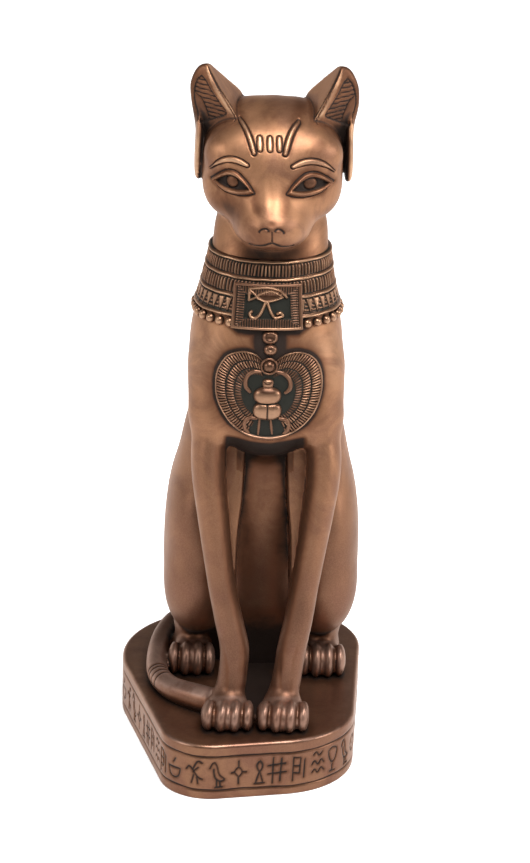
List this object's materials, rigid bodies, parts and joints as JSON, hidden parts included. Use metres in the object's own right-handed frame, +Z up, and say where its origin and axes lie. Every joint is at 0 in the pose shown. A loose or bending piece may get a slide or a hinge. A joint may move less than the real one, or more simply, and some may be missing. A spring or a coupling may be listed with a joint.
{
  "type": "seated bastet cat figure",
  "caption": "Seated Egyptian-style cat on a low rounded plinth, with a broad collar, a winged scarab pectoral and the tail laid round its left side.",
  "frame": {"origin": "middle of the plinth's footprint, on its underside", "axes": "+Z up, the cat faces -Y, its tail lies round the -X side"},
  "size_m": [0.0988, 0.132, 0.28],
  "materials": {
    "bronze_finish_resin": "cold-cast resin with a satin bronze finish, rubbed lighter on the raised parts and nearly black in the recesses"
  },
  "bodies": {
    "root": {"bastet_cat_on_plinth": "bronze_finish_resin"}
  },
  "joints": []
}
